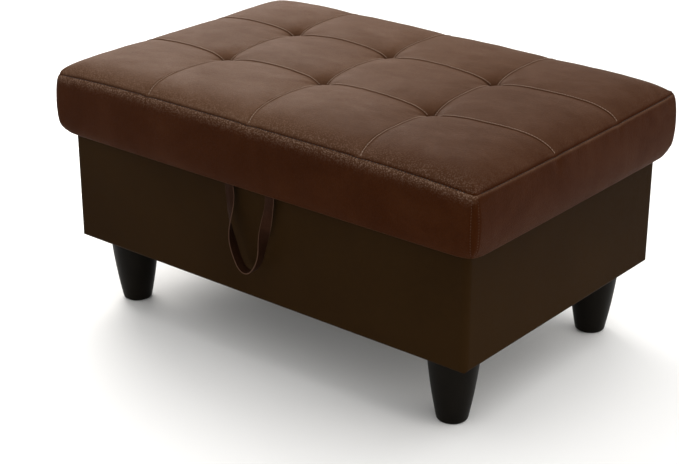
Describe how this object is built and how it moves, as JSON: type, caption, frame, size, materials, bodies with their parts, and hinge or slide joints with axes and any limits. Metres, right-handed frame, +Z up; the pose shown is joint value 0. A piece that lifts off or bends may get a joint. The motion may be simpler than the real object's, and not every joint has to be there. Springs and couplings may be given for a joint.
{
  "type": "storage ottoman",
  "caption": "Upholstered storage ottoman: rectangular box on tapered round legs, tufted hinged lid on slotted stays, cloth pull loop at the front.",
  "frame": {"origin": "middle of the footprint, on the floor between the legs", "axes": "+X to the right along the long front face, +Y to the back where the hinges are, +Z up; the pull loop hangs on the front, at -Y"},
  "size_m": [0.8832, 0.5902, 0.461],
  "materials": {
    "leg_plastic": "satin",
    "faux_leather": "satin",
    "lid_suede": "matte",
    "strap_suede": "matte",
    "plywood": "matte",
    "lining_cloth": "matte",
    "liner_cloth": "matte",
    "foam": "matte",
    "fibre": "matte",
    "zinc_steel": "satin",
    "knob_plastic": "satin",
    "bumper_rubber": "matte",
    "thread": "matte"
  },
  "bodies": {
    "base": {"leg_front_left": "leg_plastic", "leg_front_right": "leg_plastic", "leg_rear_left": "leg_plastic", "leg_rear_right": "leg_plastic", "leg_bolts": "zinc_steel", "leg_tnuts": "zinc_steel", "base_front_panel": "plywood", "base_rear_panel": "plywood", "base_left_panel": "plywood", "base_right_panel": "plywood", "bottom_panel": "plywood", "base_cover": "faux_leather", "storage_liner": "liner_cloth", "dust_cover": "lining_cloth", "dust_cover_staples": "zinc_steel", "rim_bumpers": "bumper_rubber", "hinge_box_leaves": "zinc_steel", "hinge_pins": "zinc_steel", "hinge_box_screws": "zinc_steel", "stay_box_bracket_left": "zinc_steel", "stay_box_bracket_right": "zinc_steel", "stay_box_screws": "zinc_steel", "stay_knobs": "knob_plastic"},
    "lid": {"lid_board": "plywood", "lid_foam": "foam", "lid_foam_edges": "foam", "lid_fibre_wrap": "fibre", "lid_cover_top": "lid_suede", "lid_band_front": "lid_suede", "lid_band_rear": "lid_suede", "lid_band_left": "lid_suede", "lid_band_right": "lid_suede", "lid_lining": "lining_cloth", "lid_lining_staples": "zinc_steel", "tuft_ties": "thread", "tuft_washers": "zinc_steel", "hinge_lid_leaves": "zinc_steel", "hinge_lid_screws": "zinc_steel", "stay_lid_ear_left": "zinc_steel", "stay_lid_ear_right": "zinc_steel", "stay_ear_screws": "zinc_steel", "stay_rivets": "zinc_steel", "loop_anchor_tabs": "strap_suede"},
    "stay_arm_left": {"stay_arm_left": "zinc_steel"},
    "stay_arm_right": {"stay_arm_right": "zinc_steel"},
    "pull_loop": {"pull_loop": "strap_suede"}
  },
  "joints": [
    {"name": "lid_hinge", "type": "hinge", "parent": "base", "child": "lid", "pos_m": [0, 0.2775, 0.3255], "axis": [-1, 0, 0], "range_deg": [0, 88]},
    {"name": "stay_pivot_left", "type": "hinge", "parent": "lid", "child": "stay_arm_left", "pos_m": [-0.39665, 0.1865, 0.3115], "axis": [-1, 0, 0], "range_deg": [-44, 0]},
    {"name": "stay_pivot_right", "type": "hinge", "parent": "lid", "child": "stay_arm_right", "pos_m": [0.39665, 0.1865, 0.3115], "axis": [-1, 0, 0], "range_deg": [-44, 0]},
    {"name": "pull_loop_root", "type": "hinge", "parent": "lid", "child": "pull_loop", "pos_m": [0, -0.2837, 0.32525], "axis": [-1, 0, 0], "range_deg": [-66, 0]}
  ],
  "couplings": [
    {"joint": "stay_pivot_left", "follows": "lid_hinge", "ratio": -0.5},
    {"joint": "stay_pivot_right", "follows": "lid_hinge", "ratio": -0.5},
    {"joint": "pull_loop_root", "follows": "lid_hinge", "ratio": -0.75}
  ]
}
